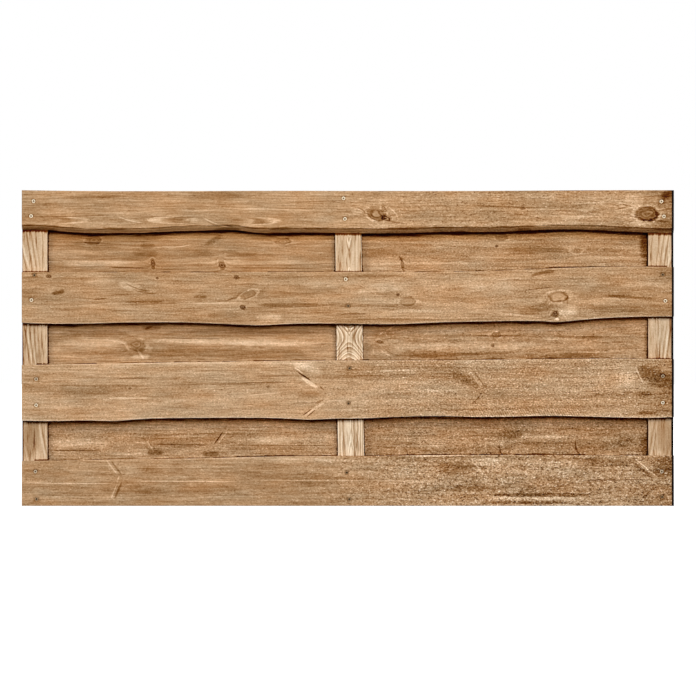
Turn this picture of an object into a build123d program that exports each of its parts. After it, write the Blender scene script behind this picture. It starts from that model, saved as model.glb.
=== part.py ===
from build123d import *
import os

# Timber fence panel of waney-edged boards, fixed in turn to the front and the back of three battens.
# Millimetres. X runs along the panel from its left post face, Y from front to back, Z up.
# The origin is on the outer face of the left batten, at mid height and mid depth.

os.makedirs("parts", exist_ok=True)

# Panel
panel_length = 1800.0
panel_height = 870.0

# Boards
board_thickness = 18.0
front_widths = (118.0, 144.5, 162.0, 138.5)  # top row to bottom row
back_laps = (25.0, 29.0, 26.0)  # how far each back board laps the front boards above and below it
arris_radius = 1.5  # eased long edges of boards and battens

# Natural edge left by the outside of the log
wane_rise = 12.0  # how far the log's surface climbs through one board's thickness
log_radius = 110.0
cutter_reach = 0.1  # how far the cut of a natural edge runs past both faces, as a share of thickness

# Battens
batten_depth = 28.0
end_batten_width = 70.0
middle_batten_width = 73.0
middle_batten_shift = 5.0  # off the panel's centre, towards the right
middle_batten_lean = 0.7  # degrees, foot towards the right
batten_setback = 4.0  # batten ends below the panel's top and above its foot

# Faces of the layers, along Y
batten_front = -batten_depth / 2
batten_back = batten_depth / 2
front_face = batten_front - board_thickness
back_face = batten_back + board_thickness

# Heights of the rows
panel_top = panel_height / 2
row_gap = (panel_height - sum(front_widths)) / (len(front_widths) - 1)

# Each edge line is a list of (share of the length, height above the row's nominal edge).
# A board is never quite straight: its sawn edge bows, and its natural edge follows the tree.
straight = [(0.0, 0.0), (1.0, 0.0)]

front_rows = [
    {
        "name": "front_board_top",
        "shift": 0.0,
        "wane_turned": "front",
        "sawn": [(0.0, 1.9), (0.06, 0.2), (0.38, 0.0), (0.70, -0.3), (0.83, 1.1), (1.0, 1.7)],
        "wane": [
            (0.0, 8.3), (0.045, 7.6), (0.078, 2.2), (0.13, 0.0), (0.18, 0.4), (0.24, 5.5),
            (0.30, 8.0), (0.335, 7.4), (0.355, 2.2), (0.40, 0.6), (0.50, 0.3), (0.585, -0.2),
            (0.66, 3.6), (0.745, 4.2), (0.775, 7.2), (0.88, 8.3), (0.95, 1.9), (1.0, 0.8),
        ],
    },
    {
        "name": "front_board_upper",
        "shift": -3.3,
        "wane_turned": "back",
        "sawn": [(0.0, -0.5), (0.26, -1.1), (0.50, 0.0), (0.70, 1.7), (0.82, 10.2), (1.0, 13.3)],
        "wane": [
            (0.0, 2.8), (0.12, 1.7), (0.18, 4.1), (0.27, 2.8), (0.33, -1.9), (0.36, -3.9),
            (0.40, -0.8), (0.44, 1.1), (0.50, 0.0), (0.59, 0.0), (0.64, 3.9), (0.72, 7.2),
            (0.78, 8.3), (0.805, 6.4), (0.82, 4.7), (0.835, 6.9), (0.86, 11.3), (0.90, 16.9),
            (0.95, 19.9), (1.0, 20.4),
        ],
    },
    {
        "name": "front_board_lower",
        "shift": -0.5,
        "wane_turned": "back",
        "sawn": [(0.0, -13.0), (0.21, -6.4), (0.50, 0.0), (0.65, 0.3), (0.80, 3.8), (1.0, 3.0)],
        "wane": [
            (0.0, -5.2), (0.06, -6.4), (0.11, -5.4), (0.145, -6.4), (0.18, -1.4), (0.22, 1.1),
            (0.30, 2.2), (0.38, 1.9), (0.41, 0.0), (0.44, -3.0), (0.47, -0.6), (0.50, 0.0),
            (0.55, 2.8), (0.64, 7.2), (0.70, 4.7), (0.80, 7.5), (0.88, 5.0), (0.935, 2.5),
            (1.0, 4.7),
        ],
    },
    {
        "name": "front_board_bottom",
        "shift": 0.0,
        "wane_turned": None,
        "sawn": [
            (0.0, -14.1), (0.15, -9.9), (0.30, -5.5), (0.40, -0.8), (0.50, 0.0), (0.67, 2.5),
            (0.81, 1.9), (1.0, 1.1),
        ],
        "wane": straight,
    },
]

# The back boards sit behind the gaps and overlap the front boards on both sides.
back_rows = [
    {
        "name": "back_board_upper",
        "shift": 0.0,
        "wane_turned": "back",
        "sawn": [(0.0, 0.8), (0.35, -0.6), (0.70, 0.5), (1.0, 1.2)],
        "wane": [
            (0.0, 1.5), (0.09, -1.8), (0.17, 2.6), (0.26, 4.8), (0.33, 1.2), (0.41, -2.5),
            (0.49, 0.6), (0.57, 5.2), (0.66, 3.0), (0.73, -1.4), (0.82, 1.1), (0.91, 4.4),
            (1.0, 2.2),
        ],
    },
    {
        "name": "back_board_middle",
        "shift": 1.5,
        "wane_turned": "back",
        "sawn": [(0.0, -3.0), (0.30, -1.5), (0.65, 1.0), (1.0, 3.5)],
        "wane": [
            (0.0, -3.5), (0.08, -1.0), (0.15, 3.8), (0.24, 2.0), (0.32, -3.2), (0.43, -4.6),
            (0.52, 1.2), (0.61, 4.5), (0.69, 2.4), (0.76, -2.0), (0.84, -3.4), (0.92, 1.6),
            (1.0, 2.8),
        ],
    },
    {
        "name": "back_board_lower",
        "shift": 0.0,
        "wane_turned": "back",
        "sawn": [(0.0, -2.5), (0.40, 0.8), (0.75, 0.2), (1.0, -0.6)],
        "wane": [
            (0.0, -1.2), (0.11, 2.4), (0.21, 4.2), (0.29, 0.4), (0.38, -2.8), (0.47, -1.6),
            (0.55, 2.9), (0.64, 4.9), (0.72, 0.9), (0.80, -3.1), (0.90, -0.8), (1.0, 3.1),
        ],
    },
]


def line_points(line, height):
    return [(share * panel_length, height + rise) for share, rise in line]


# Points of the natural edge at a depth into the board: 0 on its wide face, 1 on its narrow face.
# Between the two faces it bulges by the sagitta of the log's round over that chord.
def wane_points(line, height, depth):
    chord_squared = board_thickness**2 + wane_rise**2
    sagitta = chord_squared / (8 * log_radius)
    climb = wane_rise * depth - sagitta * 4 * depth * (1 - depth)
    return line_points(line, height + climb)


# A board with its sawn edge up and, where it has one, its natural edge down.
def make_board(row, top, width, near_face, far_face):
    low = top - width
    margin = width / 4
    with BuildPart() as board:
        with BuildSketch(Plane.XZ.offset(-far_face)):
            with BuildLine():
                sawn = Spline(line_points(row["sawn"], top))
                if row["wane_turned"]:
                    foot = low - margin
                else:
                    foot = low
                Polyline(sawn @ 1, (panel_length, foot), (0, foot), sawn @ 0)
            make_face()
        extrude(amount=board_thickness)
        if row["wane_turned"]:
            wide_face, narrow_face = far_face, near_face
            if row["wane_turned"] == "back":
                wide_face, narrow_face = near_face, far_face
            for depth in (-cutter_reach, 0.5, 1 + cutter_reach):
                plane_y = wide_face + (narrow_face - wide_face) * depth
                with BuildSketch(Plane.XZ.offset(-plane_y)):
                    with BuildLine():
                        points = wane_points(row["wane"], low, depth)
                        edge = Spline(points)
                        below = low - 2 * margin
                        Polyline(
                            edge @ 1,
                            (panel_length + margin, points[-1][1]),
                            (panel_length + margin, below),
                            (-margin, below),
                            (-margin, points[0][1]),
                            edge @ 0,
                        )
                    make_face()
            loft(mode=Mode.SUBTRACT)
        long_edges = board.edges().filter_by(lambda e: e.length > panel_length / 2)
        fillet(long_edges.sort_by(Axis.Z)[-2:], arris_radius)
        if not row["wane_turned"]:
            long_edges = board.edges().filter_by(lambda e: e.length > panel_length / 2)
            fillet(long_edges.sort_by(Axis.Z)[:2], arris_radius)
    board.part.label = row["name"]
    export_step(board.part, f"parts/{row['name']}.step")
    return board.part


def make_batten(name, width, centre_x, lean):
    length = panel_height - 2 * batten_setback
    middle = Plane((centre_x, 0, 0), x_dir=(1, 0, 0), z_dir=(0, 0, 1)).rotated((0, -lean, 0))
    with BuildPart() as batten:
        with BuildSketch(middle):
            RectangleRounded(width, batten_depth, arris_radius)
        extrude(amount=length / 2, both=True)
    batten.part.label = name
    export_step(batten.part, f"parts/{name}.step")
    return batten.part


front_top = panel_top
for row, width in zip(front_rows, front_widths):
    make_board(row, front_top + row["shift"], width, front_face, batten_front)
    front_top -= width + row_gap

gap_top = panel_top - front_widths[0]
for row, lap, front_below in zip(back_rows, back_laps, front_widths[1:]):
    width = row_gap + 2 * lap
    make_board(row, gap_top + lap + row["shift"], width, batten_back, back_face)
    gap_top -= row_gap + front_below

make_batten("batten_left", end_batten_width, end_batten_width / 2, 0)
make_batten("batten_middle", middle_batten_width, panel_length / 2 + middle_batten_shift, middle_batten_lean)
make_batten("batten_right", end_batten_width, panel_length - end_batten_width / 2, 0)
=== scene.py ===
import itertools
import math

import bmesh
import bpy
import numpy as np
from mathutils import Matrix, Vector
from mathutils.bvhtree import BVHTree


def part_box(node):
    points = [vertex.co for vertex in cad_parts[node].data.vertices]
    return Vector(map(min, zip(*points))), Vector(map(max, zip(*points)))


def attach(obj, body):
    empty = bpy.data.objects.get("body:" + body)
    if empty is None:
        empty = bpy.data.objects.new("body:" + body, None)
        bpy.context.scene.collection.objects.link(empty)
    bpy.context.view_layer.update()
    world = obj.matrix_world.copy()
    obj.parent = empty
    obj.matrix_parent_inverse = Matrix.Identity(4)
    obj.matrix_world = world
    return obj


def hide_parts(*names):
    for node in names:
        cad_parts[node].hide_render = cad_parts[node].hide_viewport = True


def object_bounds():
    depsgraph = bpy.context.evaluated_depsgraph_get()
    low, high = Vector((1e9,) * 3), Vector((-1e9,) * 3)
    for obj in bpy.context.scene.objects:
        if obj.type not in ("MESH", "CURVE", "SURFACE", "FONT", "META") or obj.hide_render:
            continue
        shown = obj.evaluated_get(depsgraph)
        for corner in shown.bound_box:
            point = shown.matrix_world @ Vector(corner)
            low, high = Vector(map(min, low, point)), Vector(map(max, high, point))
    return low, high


# Dresses a timber fence panel: waney-edged boards, battens and screws, in a plain white studio.
# In the dictionaries, places along the panel, heights and depths are in millimetres from the
# panel's own origin, and tones are steps of screen brightness out of 255.

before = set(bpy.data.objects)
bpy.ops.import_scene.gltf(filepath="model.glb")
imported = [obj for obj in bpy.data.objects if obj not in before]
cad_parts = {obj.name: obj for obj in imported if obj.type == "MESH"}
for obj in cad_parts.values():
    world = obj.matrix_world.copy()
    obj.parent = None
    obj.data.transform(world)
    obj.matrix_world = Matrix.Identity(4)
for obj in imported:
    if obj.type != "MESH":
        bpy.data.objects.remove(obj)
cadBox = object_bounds()
mm = 0.001
outside = 5.0  # metres from the origin, beyond the panel on every side
print("stage 1: frame loaded,", len(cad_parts), "timbers")


# Noise for the relief of the meshes: smooth, seeded, from -1 to 1

noiseTableSize = 4096
noiseHash = np.array([73856093, 19349663, 83492791])


def smoothNoise(points, cell, seed):
    table = np.random.default_rng(seed).uniform(-1, 1, noiseTableSize)
    spot = points / np.array(cell)
    corner = np.floor(spot).astype(np.int64)
    share = spot - corner
    share = share * share * (3 - 2 * share)
    total = np.zeros(len(points))
    for step in itertools.product((0, 1), repeat=3):
        weight = np.where(np.array(step) == 1, share, 1 - share).prod(axis=1)
        total += weight * table[((corner + step) @ noiseHash) % noiseTableSize]
    return total


def smoothStep(low, high, value):
    share = np.clip((value - low) / (high - low), 0, 1)
    return share * share * (3 - 2 * share)


# Meshes of the timbers

timberMesh = {
    "stationStep": 5.0,  # along the grain
    "rowStep": 3.0,  # across the grain
    "depthStep": 4.0,
    "arris": 1.6,  # radius of the eased long edges
    "endArris": 0.9,  # radius at the sawn ends
    "wanyArris": 0.8,  # radius where the natural edge meets a face
    "wanyFrom": 4.0,  # an edge that climbs more than this through the thickness is a natural one
    "crackHalf": 0.8,  # half the width of a crack at the surface
    "crackDepth": 1.4,
    "crackTaper": 0.3,  # share of a crack's length over which each end closes
    "inset": 0.35,  # mean depth of the relief below the sawn face
    # grain size along, across and through the timber, and depth
    "waves": ((150, 34, 60), 0.12),
    "fibre": ((26, 3.4, 9), 0.10),
    "barkLumps": ((48, 60, 11), 1.3),
    "knotHollow": 0.25,
    "knotRim": 0.15,
    "farAway": 30.0,  # distances are not told apart beyond this
    # how fast the shade ends through the thickness of a timber of each layer
    "deepening": {"front": 3.0, "batten": 0.25, "back": 1.0},
    # distance that counts at a front board's upper edge, where little shade falls, and its growth
    "aboveEdge": (7.3, 0.4),
}


# Positions along a side: close together in the rounded edges, even between them.
def latticeLine(length, step, firstArris, lastArris):
    easing = np.array([0.0, 0.2, 0.55, 1.0])
    count = max(2, round((length - firstArris - lastArris) / step))
    inner = np.linspace(firstArris, length - lastArris, count + 1)[1:-1]
    return np.concatenate([easing * firstArris, inner, length - (easing * lastArris)[::-1]])


def rayTree(nodeName):
    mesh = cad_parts[nodeName].data
    points = [vertex.co.copy() for vertex in mesh.vertices]
    return BVHTree.FromPolygons(points, [tuple(face.vertices) for face in mesh.polygons])


# Where a ray from outside, along one axis, first meets a timber.
def edgePlace(tree, start, axis, sign):
    direction = Vector((0, 0, 0))
    direction[axis] = sign
    origin = Vector(start) * mm
    origin[axis] = -sign * outside
    return tree.ray_cast(origin, direction)[0][axis] / mm


def smoothed(line, reach):
    padded = np.pad(line, reach, mode="reflect", reflect_type="odd")
    kernel = np.hanning(2 * reach + 3)[1:-1]
    return np.convolve(padded, kernel / kernel.sum(), "valid")


# The edge lines of a timber. A board is long in X and wide in Z, a batten the other way round.
def timberShape(name):
    upright = name.startswith("batten")
    lengthAxis, widthAxis = (2, 0) if upright else (0, 2)
    endMargin = 2.0 if upright else 0.5  # rays keep this far from the sawn ends
    lowCorner, highCorner = (np.array(corner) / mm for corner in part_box(name))
    size = highCorner - lowCorner
    tree = rayTree(name)
    endArris, arris = timberMesh["endArris"], timberMesh["arris"]
    lengthwise = latticeLine(size[lengthAxis], timberMesh["stationStep"], endArris, endArris)
    depth = lowCorner[1] + latticeLine(size[1], timberMesh["depthStep"], arris, arris)

    def edgeLine(y, sign):
        places = []
        for share in np.clip(lengthwise, endMargin, size[lengthAxis] - endMargin):
            start = [0, y, 0]
            start[lengthAxis] = lowCorner[lengthAxis] + share
            places.append(edgePlace(tree, start, widthAxis, sign))
        return np.array(places) if upright else smoothed(np.array(places), 2)

    middle = (lowCorner[1] + highCorner[1]) / 2
    low = [edgeLine(y, 1) for y in np.clip(depth, lowCorner[1] + 0.05, highCorner[1] - 0.05)]
    wany = abs(low[0] - low[-1]).mean() > timberMesh["wanyFrom"]
    if not wany:
        low = [edgeLine(middle, 1)] * len(depth)
    return {
        "along": lowCorner[lengthAxis] + lengthwise,
        "depth": depth,
        "low": np.stack(low, axis=1),
        "high": np.stack([edgeLine(middle, -1)] * len(depth), axis=1),
        "wany": wany,
        "order": [1, 2, 0] if upright else [0, 2, 1],
    }


shapes = {name: timberShape(name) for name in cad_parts}


# How far a place is below the lower edge of a layer's boards: 0 where one of them covers it.
# Above an upper edge it is the distance at the edge and its growth from there.
def belowBoards(layer, x, z, aboveEdge=(timberMesh["farAway"], 0)):
    start, growth = aboveEdge
    reach = np.full(len(x), timberMesh["farAway"])
    for name, shape in shapes.items():
        if name.startswith(layer):
            low = np.interp(x, shape["along"], shape["low"].min(axis=1))
            high = np.interp(x, shape["along"], shape["high"].max(axis=1))
            above = start + growth * (z - high)
            reach = np.minimum(reach, np.where(z < high, np.maximum(low - z, 0), above))
    return reach


def besideBattens(x, z):
    reach = np.full(len(x), timberMesh["farAway"])
    for name, shape in shapes.items():
        if name.startswith("batten"):
            low = np.interp(z, shape["along"], shape["low"][:, 0])
            high = np.interp(z, shape["along"], shape["high"][:, 0])
            reach = np.minimum(reach, np.maximum(np.maximum(low - x, x - high), 0))
    return reach


# Distance from the nearest sheltered corner, where the materials paint shade.
def creviceReach(name, points):
    x, y, z = points.T
    depth = shapes[name]["depth"]
    layer = name.split("_")[0]
    deepening = timberMesh["deepening"][layer]
    fromFront, fromBack = deepening * (y - depth[0]), deepening * (depth[-1] - y)
    reaches = []
    if layer != "front":
        reaches.append(np.hypot(belowBoards("front", x, z, timberMesh["aboveEdge"]), fromFront))
    if layer != "back":
        reaches.append(np.hypot(belowBoards("back", x, z), fromBack))
    if layer != "batten":
        toBattens = fromBack if layer == "front" else fromFront
        reaches.append(np.hypot(3 * besideBattens(x, z), toBattens))
    return np.minimum.reduce(reaches)


# Rows across a face, with three close together wherever a crack runs.
def faceRows(shape, nominal, radii, cracks):
    rows = latticeLine(nominal, timberMesh["rowStep"], radii["low"], radii["high"])
    centres = []
    for start, end, height, _ in cracks:
        station = int(np.searchsorted(shape["along"], (start + end) / 2))
        low, high = shape["low"][station].max(), shape["high"][station].max()
        centres.append((height - low) / (high - low) * nominal)
        rows = rows[np.abs(rows - centres[-1]) > 2 * timberMesh["crackHalf"]]
        rows = np.append(rows, centres[-1] + timberMesh["crackHalf"] * np.array([-1, 0, 1]))
    rows = np.sort(rows)
    return rows, [int(np.argmin(np.abs(rows - centre))) for centre in centres]


def meshPiece(name, points, faces, marks=None):
    mesh = bpy.data.meshes.new(name)
    mesh.from_pydata((points * mm).tolist(), [], faces)
    for label, values in (marks or {}).items():
        attribute = mesh.attributes.new(label, "FLOAT", "POINT")
        attribute.data.foreach_set("value", np.asarray(values, np.float32))
    outward = bmesh.new()
    outward.from_mesh(mesh)
    bmesh.ops.recalc_face_normals(outward, faces=outward.faces)
    outward.to_mesh(mesh)
    outward.free()
    mesh.shade_smooth()
    piece = bpy.data.objects.new(name, mesh)
    bpy.context.scene.collection.objects.link(piece)
    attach(piece, "root")
    return piece


screwSeat = {
    "clear": 6.4,  # radius opened in the face
    # radius, and depth below the face, of the lip and of the rings below it
    "lip": (5.6, 0.35),
    "bore": [(5.25, 0.9), (2.2, 3.2), (0.6, 3.4)],
    "crushedWoodAndShade": 0.45,  # crushed wood and painted shade in the seat: as dark as this share of a crack
}


# Opens a face around each screw and fills the opening with its seat.
def cutSeats(points, side, keep, faceDepth, inward, screws):
    faces = []
    clear = screwSeat["clear"]
    for screwAlong, screwAcross, sunk in screws:
        stations = points[side[:, side.shape[1] // 2], 0]
        first = int(np.searchsorted(stations, screwAlong - clear)) - 1
        last = int(np.searchsorted(stations, screwAlong + clear))
        rows = points[side[(first + last) // 2], 1]
        bottom = int(np.searchsorted(rows, screwAcross - clear)) - 1
        top = int(np.searchsorted(rows, screwAcross + clear))
        keep[first:last, bottom:top] = False
        ring = np.concatenate([
            side[first:last, bottom], side[last, bottom:top],
            side[last:first:-1, top], side[first, top:bottom:-1],
        ])
        offset = points[ring, :2] - (screwAlong, screwAcross)
        angle = np.arctan2(offset[:, 1], offset[:, 0])
        profile = [screwSeat["lip"]] + [(radius, deep + sunk) for radius, deep in screwSeat["bore"]]
        for radius, deep in profile:
            circle = np.stack([
                screwAlong + radius * np.cos(angle),
                screwAcross + radius * np.sin(angle),
                np.full(len(angle), faceDepth + inward * deep),
            ], axis=1)
            inner = len(points) + np.arange(len(angle))
            points = np.concatenate([points, circle])
            faces += np.stack([ring, np.roll(ring, -1), np.roll(inner, -1), inner], axis=1).tolist()
            ring = inner
        faces.append(ring.tolist())
    return points, faces


# How far the surface lies below the nominal one: planer waves, fibres, knots, bark lumps and cracks.
def reliefDepth(points, marks, look):
    waves, fibre, lumps = (
        timberMesh[key][1] * smoothNoise(points, timberMesh[key][0], look["seed"] + number)
        for number, key in enumerate(("waves", "fibre", "barkLumps"))
    )
    deep = timberMesh["inset"] + waves + fibre
    for along, across, length, breadth, tilt, *_ in look.get("knots", []):
        turn = math.radians(tilt)
        offset = points[:, :2] - (along, across)
        u = (offset @ (math.cos(turn), math.sin(turn))) / (length / 2)
        v = (offset @ (-math.sin(turn), math.cos(turn))) / (breadth / 2)
        reach = np.sqrt(u * u + v * v)
        deep += timberMesh["knotHollow"] * smoothStep(1.0, 0.5, reach)
        deep -= timberMesh["knotRim"] * smoothStep(0.4, 0.0, np.abs(reach - 1.1))
    deep += marks["wane"] * (timberMesh["barkLumps"][1] + lumps) / 2
    deep += marks["crack"] * timberMesh["crackDepth"]
    return np.maximum(deep, 0.05)


# A closed skin of quads, bent to the timber's edge lines, with rounded arrises and its relief.
def buildTimber(name, look, screws=(), screwSide=0):
    shape = shapes[name]
    along, depth, low, high = (shape[key] for key in ("along", "depth", "low", "high"))
    arris = timberMesh["arris"]
    radii = {"end": timberMesh["endArris"], "face": arris, "high": arris, "low": arris}
    if shape["wany"]:
        radii["low"] = timberMesh["wanyArris"]
    nominal = float((high - low).mean())
    cracks = look.get("cracks", [])
    rows, crackRows = faceRows(shape, nominal, radii, cracks)
    lattice = (len(along), len(rows), len(depth))

    index = np.full(lattice, -1)
    for axis in range(3):
        for end in (0, -1):
            np.moveaxis(index, axis, 0)[end] = 0
    pick = np.nonzero(index == 0)
    index[pick] = np.arange(len(pick[0]))

    lowAt, highAt = low[pick[0], pick[2]], high[pick[0], pick[2]]
    offset = rows[pick[1]]
    inner = (offset - radii["low"]) / (nominal - radii["low"] - radii["high"])
    fromLow = radii["low"] + inner * (highAt - lowAt - radii["low"] - radii["high"])
    fromLow = np.where(offset < radii["low"], offset, fromLow)
    fromHigh = highAt - lowAt - fromLow
    fromHigh = np.where(offset > nominal - radii["high"], nominal - offset, fromHigh)
    sides = np.stack([
        along[pick[0]] - along[0], along[-1] - along[pick[0]],
        fromLow, fromHigh,
        depth[pick[2]] - depth[0], depth[-1] - depth[pick[2]],
    ])
    radius = np.array([radii[key] for key in ("end", "end", "low", "high", "face", "face")])[:, None]
    near = np.clip(1 - sides / radius, 0, 1)
    length = np.sqrt((near**2).sum(axis=0))
    rounded = np.where(near > 0, radius * (1 - near / length), sides)
    points = np.stack([
        np.where(near[1] > 0, along[-1] - rounded[1], along[0] + rounded[0]),
        np.where(near[3] > 0, highAt - rounded[3], lowAt + rounded[2]),
        np.where(near[5] > 0, depth[-1] - rounded[5], depth[0] + rounded[4]),
    ], axis=1)
    near = near / length
    normal = np.stack([near[1] - near[0], near[3] - near[2], near[5] - near[4]], axis=1)

    # Marks for the materials. Arris, crevice, rim and shade are distances: from the nearest arris, from
    # the nearest sheltered corner, from the arris over a natural edge, and below the front boards.
    farAway = timberMesh["farAway"]
    marks = {
        "arris": np.minimum(np.sort(sides, axis=0)[1], farAway),
        "endGrain": np.maximum(near[0], near[1]),
        "wane": near[2] * float(shape["wany"]),
        "crack": np.zeros(len(points)),
        "crevice": creviceReach(name, points[:, shape["order"]]),
        "rim": np.full(len(points), farAway),
        "shade": np.full(len(points), farAway),
    }
    if name.startswith("front") and shape["wany"]:
        marks["rim"] = np.hypot(sides[2], sides[4])
    if name.startswith("back"):
        below = belowBoards("front", points[:, 0], points[:, 1])
        marks["shade"] = np.hypot(below, points[:, 2] - depth[0])
    for (start, end, _, side), row in zip(cracks, crackRows):
        soft = timberMesh["crackTaper"] * (end - start)
        opening = smoothStep(start, start + soft, points[:, 0])
        closing = smoothStep(end, end - soft, points[:, 0])
        onLine = (pick[1] == row) & (pick[2] == (0 if side == "front" else len(depth) - 1))
        marks["crack"] += onLine * opening * closing
    points = points - normal * reliefDepth(points, marks, look)[:, None]

    faces = []
    for axis in range(3):
        for end in (0, -1):
            side = np.moveaxis(index, axis, 0)[end]
            quads = np.stack([side[:-1, :-1], side[1:, :-1], side[1:, 1:], side[:-1, 1:]], axis=-1)
            keep = np.ones(quads.shape[:2], bool)
            if axis == 2 and end == screwSide:
                inward = 1 if end == 0 else -1
                points, seatFaces = cutSeats(points, side, keep, depth[end], inward, screws)
                faces += seatFaces
            faces += quads[keep].tolist()
    # The seats darken through the crack mark: crushed wood and painted shade.
    inSeats = {"crack": screwSeat["crushedWoodAndShade"], "endGrain": 0.0, "wane": 0.0}
    for label, values in marks.items():
        seats = np.full(len(points) - len(values), inSeats.get(label, farAway))
        marks[label] = np.concatenate([values, seats])
    return meshPiece(name + "_timber", points[:, shape["order"]], faces, marks)


# Node trees. A wire is a value in a tree, and arithmetic on wires adds Math nodes.
class Wire:
    def __init__(self, tree, socket):
        self.tree = tree
        self.socket = socket

    def math(self, operation, *others):
        values = dict(enumerate((self, *others)))
        return addWire(self.tree, "ShaderNodeMath", values, operation=operation)

    def __add__(self, other):
        return self.math("ADD", other)

    def __sub__(self, other):
        return self.math("SUBTRACT", other)

    def __rsub__(self, other):
        return self.math("MULTIPLY_ADD", -1.0, other)

    def __mul__(self, other):
        return self.math("MULTIPLY", other)

    def __truediv__(self, other):
        return self.math("DIVIDE", other)


def plug(tree, socket, value):
    if isinstance(value, Wire):
        tree.links.new(value.socket, socket)
    else:
        socket.default_value = value


def addNode(tree, kind, values=None, **settings):
    node = tree.nodes.new(kind)
    for name, setting in settings.items():
        setattr(node, name, setting)
    for key, value in (values or {}).items():
        plug(tree, node.inputs[key], value)
    return node


def addWire(tree, kind, values=None, output=0, **settings):
    return Wire(tree, addNode(tree, kind, values, **settings).outputs[output])


def vectorMath(tree, operation, *values):
    return addWire(tree, "ShaderNodeVectorMath", dict(enumerate(values)), operation=operation)


def parts(vector):
    node = addNode(vector.tree, "ShaderNodeSeparateXYZ", {0: vector})
    return [Wire(vector.tree, socket) for socket in node.outputs]


# From 0 at the start to 1 at the end, in a smooth step.
def ramp(value, start, end):
    values = {"Value": value, "From Min": start, "From Max": end}
    return addWire(value.tree, "ShaderNodeMapRange", values, interpolation_type="SMOOTHSTEP")


# Noise around 0, with its own grain size along, across and through the timber.
def noiseAt(tree, grain, size, seed, detail=0.0, roughness=0.5):
    stretch = tuple(1 / side for side in size)
    spot = vectorMath(tree, "MULTIPLY_ADD", grain, stretch, seed)
    values = {"Vector": spot, "Scale": 1.0, "Detail": detail, "Roughness": roughness}
    return addWire(tree, "ShaderNodeTexNoise", values) - 0.5


# Builds a shared effect. draw(tree, wires) returns its outputs by name.
def shaderGroup(name, inputs, draw):
    tree = bpy.data.node_groups.new(name, "ShaderNodeTree")
    kinds = {"VALUE": "NodeSocketFloat", "VECTOR": "NodeSocketVector", "RGBA": "NodeSocketColor"}
    for label, start in inputs.items():
        kind = "VALUE"
        if isinstance(start, tuple):
            kind = "VECTOR" if len(start) == 3 else "RGBA"
        made = tree.interface.new_socket(label, in_out="INPUT", socket_type=kinds[kind])
        made.default_value = start
    entry = tree.nodes.new("NodeGroupInput")
    results = draw(tree, {label: Wire(tree, entry.outputs[label]) for label in inputs})
    for label, wire in results.items():
        tree.interface.new_socket(label, in_out="OUTPUT", socket_type=kinds[wire.socket.type])
    leave = tree.nodes.new("NodeGroupOutput")
    for label, wire in results.items():
        tree.links.new(wire.socket, leave.inputs[label])
    return tree


def place(tree, group, values):
    node = addNode(tree, "ShaderNodeGroup", values, node_tree=group)
    return {socket.name: Wire(tree, socket) for socket in node.outputs}


# Place within a mark, in shares of its half length and half breadth.
def placeInMark(tree, wires):
    offset = vectorMath(tree, "SUBTRACT", wires["Grain"], wires["Centre"])
    values = {"Vector": offset, "Angle": wires["Tilt"] * -1.0}
    turned = addWire(tree, "ShaderNodeVectorRotate", values, rotation_type="Z_AXIS")
    return vectorMath(tree, "DIVIDE", turned, wires["Size"])


markDepth = 1000.0  # a mark goes right through its timber
markInputs = {
    "Grain": (0.0, 0.0, 0.0),
    "Centre": (0.0, 0.0, 0.0),
    "Size": (20.0, 10.0, markDepth),
    "Tilt": 0.0,
}


# Noise that makes the outlines of marks and knots uneven, shared by all the marks of a timber.
def drawUnevenness(tree, wires):
    torn = noiseAt(tree, wires["Grain"], (11, 3.6, 12), (2.3, 5.1, 0.2), 2.0, 0.7)
    wobble = noiseAt(tree, wires["Grain"], (17, 9, 12), (0.3, 0.1, 0.7), 2.0)
    return {"Torn": torn, "Wobble": wobble}


unevenness = shaderGroup("unevenness", {"Grain": (0.0, 0.0, 0.0)}, drawUnevenness)


# A swelling of the trunk pushes the growth rings outwards, which draws flames and arches on a face.
def drawSwell(tree, wires):
    u, v, _ = parts(placeInMark(tree, wires))
    reach = u * u + v * v
    return {"Swelling": wires["Swelling"] + (reach * -1.0).math("EXPONENT") * wires["Swell"]}


trunkSwell = shaderGroup("trunkSwell", {"Swelling": 0.0, **markInputs, "Swell": 4.0}, drawSwell)


# A knot: a dark oval with its own rings, an outline and a core, that the grain flows around.
def drawKnot(tree, wires):
    u, v, _ = parts(placeInMark(tree, wires))
    reach = (u * u + v * v).math("SQRT") + wires["Wobble"] * 0.9
    body = ramp(reach, 1.0, 0.82)
    lower = (u - v) * 0.35 + 1.0
    outline = ramp((reach - 0.98).math("ABSOLUTE"), 0.26, 0.05) * lower
    core = ramp(reach, 0.42, 0.12)
    rings = (reach * 13.0).math("SINE") * 0.8 + 1.0
    halo = ramp((reach - 1.34).math("ABSOLUTE"), 0.22, 0.04)
    tone = wires["Body"] * body * rings + wires["Outline"] * (outline - halo * 0.4)
    tone = tone + wires["Core"] * core
    around = (reach * reach * -0.4).math("EXPONENT")
    return {
        "Swelling": wires["Swelling"] + around * wires["Swell"],
        "Tone": wires["Tone"] + tone,
        "Calm": wires["Calm"].math("MAXIMUM", body),
        "Swirl": wires["Swirl"].math("MAXIMUM", around),
    }


knotInputs = {"Swelling": 0.0, "Tone": 0.0, "Calm": 0.0, "Swirl": 0.0, "Wobble": 0.0, **markInputs}
knotInputs.update({"Body": -45.0, "Outline": -20.0, "Core": 0.0, "Swell": 4.0})
woodKnot = shaderGroup("woodKnot", knotInputs, drawKnot)


# A streak, line or patch in the wood, with a ragged edge. Its bow bends it, in half breadths.
def drawMark(tree, wires):
    u, v, _ = parts(placeInMark(tree, wires))
    bowed = v - (1.0 - u * u) * wires["Bow"]
    reach = u * u * u * u + bowed * bowed + wires["Torn"] * wires["Ragged"]
    return {"Tone": wires["Tone"] + ramp(reach, 1.0, wires["Soft"]) * wires["Strength"]}


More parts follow.
